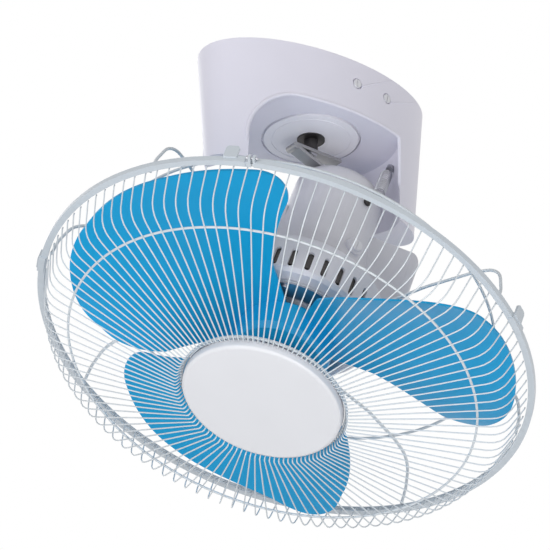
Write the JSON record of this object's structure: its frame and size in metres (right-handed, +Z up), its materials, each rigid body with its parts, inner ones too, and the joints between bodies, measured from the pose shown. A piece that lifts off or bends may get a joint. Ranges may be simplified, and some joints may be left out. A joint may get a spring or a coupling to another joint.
{
  "type": "ceiling orbit fan",
  "caption": "Ceiling orbit fan: oval base with a tunnel, tilted motor head in a round wire guard with blue paddle blades and a plain centre cap.",
  "frame": {"origin": "ceiling face on the vertical orbit axis", "axes": "+Z straight up into the ceiling, +X along the base's long axis towards the leg that holds the spring, +Y across the base"},
  "size_m": [0.4079, 0.4328, 0.3593],
  "materials": {
    "base_plastic": "smooth lilac-grey",
    "head_plastic": "smooth off-white",
    "band_plastic": "smooth pale blue-grey",
    "guard_coat": "powder coated wire",
    "blade_blue": "glossy moulded blue",
    "zinc_sheet": "zinc plated sheet",
    "plated_steel": "zinc plated",
    "dark_steel": "oiled dark steel",
    "white_screw": "white painted head",
    "bronze": "sintered bush",
    "copper": "enamelled winding",
    "nylon": "natural nylon",
    "black_plastic": "moulded black"
  },
  "bodies": {
    "base": {"base_canopy": "base_plastic", "ceiling_plate": "plated_steel", "canopy_screws": "white_screw", "orbit_disc": "base_plastic", "disc_screws": "plated_steel", "orbit_bearing": "dark_steel", "gear_case": "nylon", "drive_motor": "plated_steel", "case_screws": "plated_steel", "terminal_block": "nylon", "spring_eye": "plated_steel", "tension_spring": "plated_steel"},
    "crank": {"orbit_shaft": "dark_steel", "shaft_clip": "dark_steel", "crank_bracket": "zinc_sheet", "shaft_nut": "plated_steel", "spindle": "plated_steel", "thrust_washer": "nylon", "spindle_nut": "plated_steel"},
    "head": {"rear_housing": "head_plastic", "spindle_bearings": "bronze", "motor_cover": "head_plastic", "stator_core": "dark_steel", "stator_windings": "copper", "front_bearing": "bronze", "rear_bearing": "bronze", "capacitor": "black_plastic", "ear_screws": "plated_steel", "boss_screw": "white_screw", "spring_post": "dark_steel", "rear_guard": "guard_coat", "guard_plate": "plated_steel", "guard_screws": "plated_steel", "guard_band": "band_plastic", "band_screw": "plated_steel", "guard_clips": "band_plastic", "front_guard": "guard_coat", "cap_plate": "plated_steel", "front_cap": "head_plastic"},
    "rotor": {"motor_shaft": "dark_steel", "rotor_core": "dark_steel", "blade_wheel": "blade_blue", "blade_nut": "blade_blue", "drive_pin": "plated_steel"}
  },
  "joints": [
    {"name": "orbit", "type": "hinge", "parent": "base", "child": "crank", "pos_m": [0, 0, 0], "axis": [0, 0, 1], "continuous": true, "deforming": ["tension_spring"]},
    {"name": "head_hold", "type": "hinge", "parent": "crank", "child": "head", "pos_m": [0, 0, -0.1813], "axis": [0.3453, 0, 0.9385], "continuous": true},
    {"name": "blade_spin", "type": "hinge", "parent": "head", "child": "rotor", "pos_m": [0, 0, -0.1813], "axis": [0.3453, 0, 0.9385], "continuous": true}
  ],
  "couplings": [
    {"joint": "head_hold", "follows": "orbit", "ratio": -1}
  ]
}
